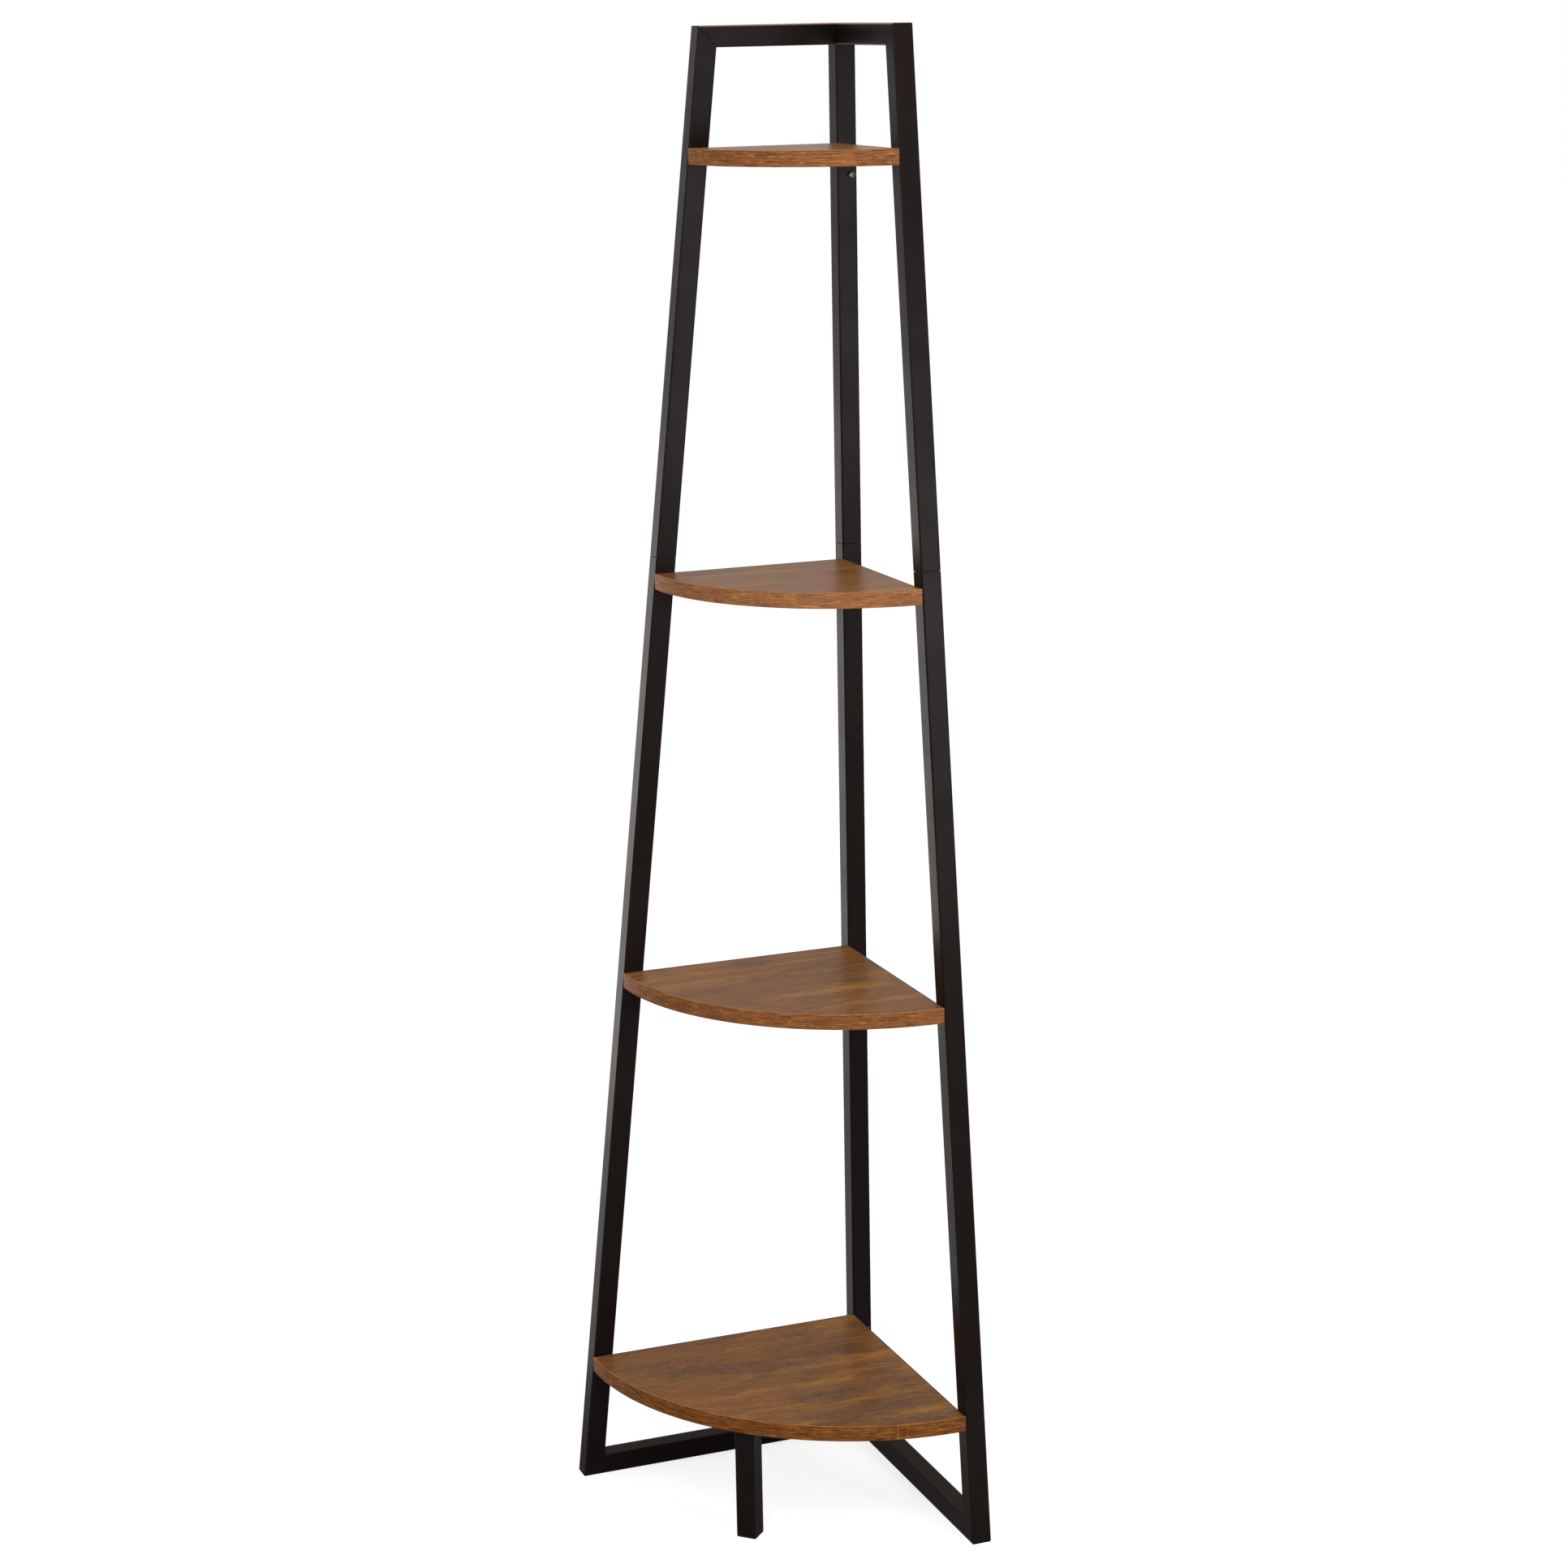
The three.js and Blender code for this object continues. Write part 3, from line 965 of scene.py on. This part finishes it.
class SHELF_UNIT_OT_seams(Operator):
    """Sleeves inside the seams and the set screws that lock them"""

    bl_idname = "shelf_unit.seams"
    bl_label = "Seam Sleeves"

    def execute(self, context):
        arris = context.scene.shelf_unit_sizes.part_arris
        for place in (*SIDES, "rear"):
            finish_softened(f"{place}_seam_sleeve", "frame_paint", arris / 4)
            finish_softened(f"{place}_seam_set_screw", "black_screw", arris / 2)
        return {"FINISHED"}


# Finishes
# Specular levels. They are low, because gloss shows a white room from all round, which
# would wash the dark colours out.
PAINT_GLOSS = 0.057
BOARD_GLOSS = 0.025
BAND_GLOSS = 0.045
PLASTIC_GLOSS = 0.06

# Roughness of the dusty paint at the floor, and the height where the dust ends.
DULL = 0.72
DULL_UP_TO = 0.26
# Painted highlight: a warm light colour along the very top of the top bars stands for light
# caught there. It begins and is full at these depths under the unit's top.
TOP_HIGHLIGHT_DEPTHS = (0.0020, 0.0008)
# Painted light: the front strips grow paler between the first two heights, by as much as
# LIGHT_GAIN, and darker again between the other two, until TOP_LIGHT_SHARE of it is left. It
# stands for stronger light and a highlight on the middle and upper strips.
LIGHT_HEIGHTS = (0.2, 0.85)
LIGHT_GAIN = 0.22
LIGHT_END_HEIGHTS = (0.95, 1.3)
TOP_LIGHT_SHARE = 0.4
# Saw marks: their spacing, the distances from their middle between which they die out,
# and their strength.
SAW_SPACING = 0.0094
SAW_REACH = (0.008, 0.021)
SAW_STRENGTH = 0.45
# Heights on a strip between which its trimmed upper arris begins.
BRIM_HEIGHTS = (0.0143, 0.0148)


class Nodes:
    """A node tree under construction, with short ways to add its nodes."""

    def __init__(self, tree):
        self.tree = tree
        self.tree.nodes.clear()

    def add(self, kind, inputs=None, **settings):
        node = self.tree.nodes.new(kind)
        for key, value in settings.items():
            setattr(node, key, value)
        for key, value in (inputs or {}).items():
            self.put(node, key, value)
        return node

    def put(self, node, key, value):
        if isinstance(value, bpy.types.NodeSocket):
            self.tree.links.new(value, node.inputs[key])
        else:
            node.inputs[key].default_value = value

    def calc(self, operation, first, second):
        inputs = {0: first, 1: second}
        return self.add("ShaderNodeMath", inputs, operation=operation).outputs[0]

    def times(self, first, second):
        return self.calc("MULTIPLY", first, second)

    def between(self, value, low, high, at_low=0.0, at_high=1.0):
        """Eases from one number to another while the value goes from low to high."""
        inputs = {
            "Value": value,
            "From Min": low,
            "From Max": high,
            "To Min": at_low,
            "To Max": at_high,
        }
        node = self.add("ShaderNodeMapRange", inputs, interpolation_type="SMOOTHSTEP")
        return node.outputs["Result"]

    def seen_directly(self):
        """1 for the rays that show the background: camera, mirror and glass rays."""
        path = self.add("ShaderNodeLightPath").outputs
        seen = path["Is Camera Ray"]
        for ray in ("Is Glossy Ray", "Is Transmission Ray"):
            seen = self.calc("MAXIMUM", seen, path[ray])
        return seen


class Finish(Nodes):
    """A piece's material under construction."""

    def __init__(self, name):
        self.material = bpy.data.materials.new(name)
        self.material.use_nodes = True
        super().__init__(self.material.node_tree)
        self.shader = self.add("ShaderNodeBsdfPrincipled")
        self.add("ShaderNodeOutputMaterial", {"Surface": self.shader.outputs[0]})

    def surface(self, uv_map=None):
        """Where the shaded point is: on the piece's own map, or in its own space."""
        if uv_map:
            return self.add("ShaderNodeUVMap", uv_map=uv_map).outputs["UV"]
        return self.add("ShaderNodeTexCoord").outputs["Object"]

    def scaled(self, source, scale, shift=(0, 0, 0)):
        inputs = {"Vector": source, "Scale": scale, "Location": shift}
        return self.add("ShaderNodeMapping", inputs).outputs["Vector"]

    def vector(self, operation, first, second):
        inputs = {0: first, 1: second}
        return self.add("ShaderNodeVectorMath", inputs, operation=operation).outputs[0]

    def bent(self, source, scale, reach):
        """The same place, pushed about by a slow noise, so that straight grain wanders."""
        inputs = {"Vector": self.scaled(source, scale), "Scale": 1.0}
        push = self.add("ShaderNodeTexNoise", inputs).outputs["Color"]
        centred = self.vector("SUBTRACT", push, (0.5, 0.5, 0.5))
        return self.vector("ADD", source, self.vector("MULTIPLY", centred, reach))

    def dot(self, first, second):
        inputs = {0: first, 1: second}
        node = self.add("ShaderNodeVectorMath", inputs, operation="DOT_PRODUCT")
        return node.outputs["Value"]

    def part(self, vector, axis):
        return self.add("ShaderNodeSeparateXYZ", {0: vector}).outputs[axis]

    def noise(self, source, scale, detail, rough, swirl=0.0):
        inputs = {
            "Vector": source,
            "Scale": scale,
            "Detail": detail,
            "Roughness": rough,
            "Distortion": swirl,
        }
        return self.add("ShaderNodeTexNoise", inputs).outputs["Fac"]

    def grain(self, source, scale, detail, rough, shift=(0, 0, 0), swirl=0.0):
        """Noise with a scale for each axis, so that it is drawn out into grain."""
        return self.noise(self.scaled(source, scale, shift), 1.0, detail, rough, swirl)

    def mix(self, factor, first, second, blend="MIX"):
        node = self.add("ShaderNodeMix", data_type="RGBA", blend_type=blend)
        # Inputs 6 and 7 are the node's colours, and output 2 is what they make.
        for key, value in ((0, factor), (6, first), (7, second)):
            if not isinstance(value, (bpy.types.NodeSocket, float, int)):
                value = (*value, 1.0)
            self.put(node, key, value)
        return node.outputs[2]

    def toned(self, colour, tone):
        return self.mix(1.0, colour, tone, "MULTIPLY")

    def bump(self, height, strength, distance, normal=None):
        inputs = {"Height": height, "Strength": strength, "Distance": distance}
        if normal is not None:
            inputs["Normal"] = normal
        return self.add("ShaderNodeBump", inputs).outputs["Normal"]

    def shade(self, colour, rough, normal, **constants):
        inputs = {"Base_Color": colour, "Roughness": rough, "Normal": normal, **constants}
        for key, value in inputs.items():
            self.put(self.shader, key.replace("_", " "), value)
        return self.material


def powder_coat(colours):
    """Satin powder coat: orange peel, dust, worn arrises with a painted highlight, dust and
    painted sheen on faces that look up, a painted warm highlight along the top, and duller
    near the floor.
    """
    f = Finish("Powder Coat")
    own = f.surface()
    level = f.part(own, "Z")
    dust = f.between(f.noise(own, 9, 4, 0.6), 0.42, 0.72)
    speck = f.between(f.noise(own, 700, 2, 0.5), 0.58, 0.8)
    colour = f.mix(f.times(dust, 0.5), colours.paint, colours.paint_pale)
    colour = f.mix(f.times(speck, 0.5), colour, colours.paint_pale)

    # On a rounded arris the smooth normal leaves the face's own one.
    facing = f.add("ShaderNodeNewGeometry").outputs
    even = f.dot(facing["Normal"], facing["True Normal"])
    arris = f.between(even, 0.9965, 0.9998, 1, 0)
    # Worn paint and painted highlight: the arrises are made paler in patches, both for paint
    # rubbed thin and for the light their rounding catches.
    rubbed_and_lit = f.between(f.noise(own, 46, 4, 0.7), 0.66, 0.8)
    colour = f.mix(f.times(rubbed_and_lit, arris), colour, colours.paint_worn_and_highlight)

    rise = f.part(facing["Normal"], "Z")
    # Dust and painted sheen: faces that look up are made paler, both for dust and for the
    # sheen they catch.
    upward = f.between(rise, 0.35, 0.9)
    colour = f.mix(f.times(upward, 0.8), colour, colours.paint_dust_and_sheen)
    # Painted highlight: the up-facing very top of the top bars is coloured warm and light, as
    # if lit.
    highest = f.between(level, *(HEIGHT - depth for depth in TOP_HIGHLIGHT_DEPTHS))
    top_highlight = f.times(highest, f.between(rise, 0.1, 0.5))
    colour = f.mix(top_highlight, colour, colours.paint_top_highlight)

    rough = f.between(f.noise(own, 14, 3, 0.6), 0.3, 0.7, 0.31, 0.37)
    rough = f.calc("MAXIMUM", rough, f.between(level, 0, DULL_UP_TO, DULL, 0))
    normal = f.bump(f.noise(own, 650, 2, 0.5), 0.2, 0.0005)
    normal = f.bump(f.noise(own, 2600, 1, 0.5), 0.1, 0.0002, normal)
    return f.shade(colour, rough, normal, Specular_IOR_Level=PAINT_GLOSS)


def laminate(colours):
    """Wood-look laminate: the grain runs along X, with smoky patches and golden streaks."""
    f = Finish("Wood Laminate")
    own = f.bent(f.surface(), (6, 14, 5), (0, 0.008, 0))
    smoke = f.between(f.grain(own, (8.5, 28, 7), 6, 0.62, swirl=0.2), 0.48, 0.64)
    gold = f.between(f.grain(own, (4, 34, 9), 6, 0.64, (3, 1, 2), 0.2), 0.49, 0.66)
    blush = f.between(f.grain(own, (11, 60, 9), 3, 0.6, (6, 2, 5)), 0.45, 0.7)
    fibre = f.grain(own, (48, 380, 30), 4, 0.72)
    dash = f.grain(own, (90, 430, 30), 2, 0.6, (2, 9, 4))
    pale = f.grain(own, (100, 460, 30), 2, 0.6, (7, 4, 1))
    ripple = f.grain(own, (700, 95, 30), 1, 0.5)
    colour = f.mix(blush, colours.board_brown, colours.board_red)
    colour = f.mix(f.times(gold, 0.75), colour, colours.board_gold)
    colour = f.mix(f.times(smoke, 0.78), colour, colours.board_grey)
    colour = f.toned(colour, f.between(fibre, 0.34, 0.66, 0.78, 1.2))
    colour = f.toned(colour, f.between(dash, 0.54, 0.7, 1.0, 0.7))
    colour = f.toned(colour, f.between(pale, 0.56, 0.72, 1.0, 1.25))
    # Saw chatter across the grain shows in the smoky patches only.
    chatter = f.mix(smoke, (1, 1, 1), f.between(ripple, 0.3, 0.7, 0.9, 1.1))
    colour = f.toned(colour, chatter)
    rough = f.between(fibre, 0.3, 0.7, 0.31, 0.39)
    normal = f.bump(fibre, 0.12, 0.0002)
    return f.shade(colour, rough, normal, Specular_IOR_Level=BOARD_GLOSS)


def band_grain(f, colours, own):
    """Oak-look grain along a strip, with dark pores and pale flecks."""
    cloud = f.grain(own, (30, 150, 1), 3, 0.6)
    grain = f.grain(own, (44, 820, 1), 3, 0.66, swirl=0.2)
    light = f.grain(own, (54, 880, 1), 3, 0.66, (4, 6, 0), 0.2)
    fleck = f.grain(own, (100, 900, 1), 2, 0.5, (5, 2, 0))
    colour = f.mix(f.between(grain, 0.34, 0.54), colours.band_dark, colours.band_brown)
    colour = f.mix(f.between(light, 0.5, 0.7, 0, 0.85), colour, colours.band_tan)
    colour = f.mix(f.between(fleck, 0.6, 0.74, 0, 0.75), colour, colours.band_fleck)
    return f.toned(colour, f.between(cloud, 0.3, 0.7, 0.8, 1.2)), grain


def wood_band(colours):
    """The front strips: oak-look grain, saw marks across it, a pale trimmed arris, and painted
    light that makes the upper strips paler.
    """
    f = Finish("Edge Band")
    own = f.bent(f.surface("Grain"), (30, 60, 1), (0, 0.0015, 0))
    colour, grain = band_grain(f, colours, own)
    level = f.part(f.surface(), "Z")
    # Painted light: the strips are made paler by height, where more light and a highlight
    # fall.
    painted_light = f.between(level, *LIGHT_HEIGHTS, 0, LIGHT_GAIN)
    painted_light = f.times(painted_light, f.between(level, *LIGHT_END_HEIGHTS, 1, TOP_LIGHT_SHARE))
    colour = f.mix(painted_light, colour, colours.band_painted_light, "ADD")

    marks = f.bent(f.surface("Marks"), (90, 160, 1), (0.0025, 0, 0))
    along = f.part(marks, "X")
    crest = f.calc("PINGPONG", f.times(along, 1 / SAW_SPACING), 0.5)
    line = f.between(crest, 0.42, 0.5)
    near = f.between(f.calc("ABSOLUTE", along, 0), *SAW_REACH, 1, 0)
    torn = f.between(f.grain(marks, (160, 420, 1), 2, 0.6), 0.36, 0.56)
    mark = f.times(f.times(line, near), torn)
    colour = f.mix(f.times(mark, SAW_STRENGTH), colour, colours.band_fleck)

    brim = f.between(f.part(f.surface("Marks"), "Y"), *BRIM_HEIGHTS)
    scuff = f.between(f.grain(own, (45, 1, 1), 3, 0.6, (8, 3, 0)), 0.35, 0.65, 0.3, 0.9)
    colour = f.mix(f.times(brim, scuff), colour, colours.band_tan)
    rough = f.between(grain, 0.3, 0.7, 0.42, 0.52)
    normal = f.bump(grain, 0.2, 0.0002)
    return f.shade(colour, rough, normal, Specular_IOR_Level=BAND_GLOSS)


def straight_band(colours):
    """The strips on the straight edges, darker than the front ones: painted shade, which draws
    a dark line along the boards' back edges.
    """
    f = Finish("Straight Band")
    colour, grain = band_grain(f, colours, f.surface("Grain"))
    # Painted shade: the straight strips are darkened to draw a dark line along the boards'
    # back edges.
    colour = f.mix(0.8, colour, colours.edge_painted_shade)
    rough = f.between(grain, 0.3, 0.7, 0.46, 0.56)
    normal = f.bump(grain, 0.2, 0.0002)
    return f.shade(colour, rough, normal, Specular_IOR_Level=BAND_GLOSS)


def metal(name, colour, metallic, rough):
    """Small metal parts, with fine rolling marks in their sheen."""
    f = Finish(name)
    own = f.surface()
    blotch = f.between(f.noise(own, 240, 3, 0.6), 0.3, 0.7, 0.8, 1.12)
    sheen = f.between(f.noise(own, 500, 2, 0.5), 0.3, 0.7, rough - 0.06, rough + 0.08)
    normal = f.bump(f.noise(own, 1500, 2, 0.5), 0.1, 0.0002)
    return f.shade(f.toned(colour, blotch), sheen, normal, Metallic=metallic)


def zinc_steel(colours):
    return metal("Zinc Plate", colours.zinc, 1.0, 0.34)


def black_screw(colours):
    return metal("Black Steel", colours.black_steel, 0.85, 0.24)


def foot_plastic(colours):
    """Moulded plastic with a fine spark-eroded texture."""
    f = Finish("Foot Plastic")
    own = f.surface()
    tone = f.between(f.noise(own, 60, 3, 0.6), 0.3, 0.7, 0.8, 1.3)
    rough = f.between(f.noise(own, 90, 2, 0.5), 0.3, 0.7, 0.5, 0.62)
    normal = f.bump(f.noise(own, 1800, 2, 0.6), 0.3, 0.0003)
    colour = f.toned(colours.foot, tone)
    return f.shade(colour, rough, normal, Specular_IOR_Level=PLASTIC_GLOSS)


# The looks, by the record's slots. The straight strips have the slot of the front ones.
FINISHES = {
    "frame_paint": powder_coat,
    "shelf_laminate": laminate,
    "edge_band": wood_band,
    "straight_band": straight_band,
    "zinc_steel": zinc_steel,
    "black_screw": black_screw,
    "foot_plastic": foot_plastic,
}
made_finishes = {}


def finish_for(look):
    if look not in made_finishes:
        made_finishes[look] = FINISHES[look](bpy.context.scene.shelf_unit_colours)
    return made_finishes[look]


# Stage
# Distances from the unit between which the floor's added white changes.
FLOOR_DISTANCES = (0.2, 2.2)
# The middle of the unit, which the lamps look at.
LAMP_AIM = Vector((0, 0, 0.7))
SENSOR_WIDTH = 36.0
NEAREST_SEEN = 0.05

# Name, place, width of the disk, power in watts and tint.
LAMPS = (
    ("key_lamp", (-0.5, -0.95, 1.35), 0.5, 7.4, (1, 1, 1)),
    ("front_lamp", (0.82, -1.9, 0.98), 0.6, 14.5, (1, 1, 1)),
    ("top_lamp", (-0.3, -0.45, 2.6), 0.8, 9.2, (1, 1, 1)),
    ("back_lamp", (-0.62, 1.5, 0.42), 1.1, 5.4, (1, 0.92, 0.87)),
)


def lay_floor(studio):
    """Grey paper that keeps the shadow, shown as white to the camera and to gloss."""
    bm = bmesh.new()
    bmesh.ops.create_grid(bm, x_segments=1, y_segments=1, size=studio.floor_size)
    floor = linked(mesh_of(bm, "floor"), "floor")
    material = bpy.data.materials.new("Floor")
    material.use_nodes = True
    n = Nodes(material.node_tree)
    paper = n.add("ShaderNodeBsdfDiffuse", {"Color": (*[studio.floor_paper] * 3, 1)})
    place = n.add("ShaderNodeTexCoord").outputs["Object"]
    away = n.add("ShaderNodeVectorMath", {0: place}, operation="LENGTH").outputs["Value"]
    white = n.between(away, *FLOOR_DISTANCES, studio.floor_near, studio.floor_far)
    glow = n.add("ShaderNodeEmission", {"Strength": n.times(n.seen_directly(), white)})
    both = n.add("ShaderNodeAddShader", {0: paper.outputs[0], 1: glow.outputs[0]})
    n.add("ShaderNodeOutputMaterial", {"Surface": both.outputs[0]})
    floor.data.materials.append(material)


def hang_sky(studio):
    """Even light from all round, which the camera and gloss see as plain white."""
    world = bpy.data.worlds.new("Studio")
    world.use_nodes = True
    n = Nodes(world.node_tree)
    strength = n.between(n.seen_directly(), 0, 1, studio.room_light, 1)
    sky = n.add("ShaderNodeBackground", {"Color": (1, 1, 1, 1), "Strength": strength})
    n.add("ShaderNodeOutputWorld", {"Surface": sky.outputs[0]})
    bpy.context.scene.world = world


def hang_lamps(studio):
    for name, place, size, power, tint in LAMPS:
        light = bpy.data.lights.new(name, "AREA")
        light.shape = "DISK"
        light.size = size
        light.energy = power * studio.lamp_level
        light.color = tint
        lamp = bpy.data.objects.new(name, light)
        lamp.location = place
        lamp.visible_camera = False
        lamp.rotation_mode = "QUATERNION"
        lamp.rotation_quaternion = (LAMP_AIM - Vector(place)).to_track_quat("-Z", "Y")
        bpy.context.scene.collection.objects.link(lamp)


def stand_camera(studio):
    turn, dip, roll = studio.camera_turn, studio.camera_dip, studio.camera_roll
    ahead = Vector(
        (
            math.sin(turn) * math.cos(dip),
            math.cos(turn) * math.cos(dip),
            -math.sin(dip),
        )
    )
    level = Vector((math.cos(turn), -math.sin(turn), 0))
    above = level.cross(ahead)
    right = math.cos(roll) * level + math.sin(roll) * above
    up = math.cos(roll) * above - math.sin(roll) * level
    camera = bpy.data.objects.new("camera", bpy.data.cameras.new("camera"))
    camera.data.sensor_width = SENSOR_WIDTH
    camera.data.lens = studio.lens
    camera.data.clip_start = NEAREST_SEEN
    axes = Matrix((right, up, -ahead)).transposed().to_4x4()
    camera.matrix_world = Matrix.Translation(studio.camera_place) @ axes
    bpy.context.scene.collection.objects.link(camera)
    bpy.context.scene.camera = camera


class SHELF_UNIT_OT_stage(Operator):
    """White floor, soft lamps and the camera"""

    bl_idname = "shelf_unit.stage"
    bl_label = "Stage"

    def execute(self, context):
        studio = context.scene.shelf_unit_studio
        stand_camera(studio)
        lay_floor(studio)
        hang_sky(studio)
        hang_lamps(studio)
        context.scene.view_settings.view_transform = "Standard"
        return {"FINISHED"}


OPERATORS = (
    SHELF_UNIT_OT_side_frames,
    SHELF_UNIT_OT_rear_post,
    SHELF_UNIT_OT_seams,
    SHELF_UNIT_OT_boards,
    SHELF_UNIT_OT_edge_bands,
    SHELF_UNIT_OT_lugs,
    SHELF_UNIT_OT_front_leg,
    SHELF_UNIT_OT_screws,
    SHELF_UNIT_OT_stage,
)
SETTINGS = (
    ("shelf_unit_sizes", ShelfUnitSizes),
    ("shelf_unit_colours", ShelfUnitColours),
    ("shelf_unit_studio", ShelfUnitStudio),
)


class SHELF_UNIT_PT_panel(Panel):
    """Lists the operators and the settings"""

    bl_idname = "SHELF_UNIT_PT_panel"
    bl_label = "Corner Shelf Unit"
    bl_space_type = "VIEW_3D"
    bl_region_type = "UI"
    bl_category = "Shelf Unit"

    def draw(self, context):
        for operator in OPERATORS:
            self.layout.operator(operator.bl_idname)
        for owner, _ in SETTINGS:
            group = getattr(context.scene, owner)
            box = self.layout.box()
            for key in group.bl_rna.properties.keys():
                if key not in ("rna_type", "name"):
                    box.prop(group, key)


CLASSES = (*(group for _, group in SETTINGS), *OPERATORS, SHELF_UNIT_PT_panel)


def register():
    for entry in CLASSES:
        bpy.utils.register_class(entry)
    for owner, group in SETTINGS:
        setattr(bpy.types.Scene, owner, PointerProperty(type=group))


def unregister():
    for owner, _ in SETTINGS:
        delattr(bpy.types.Scene, owner)
    for entry in reversed(CLASSES):
        bpy.utils.unregister_class(entry)


def main():
    register()
    for operator in OPERATORS:
        group, name = operator.bl_idname.split(".")
        getattr(getattr(bpy.ops, group), name)()


if __name__ == "__main__":
    main()
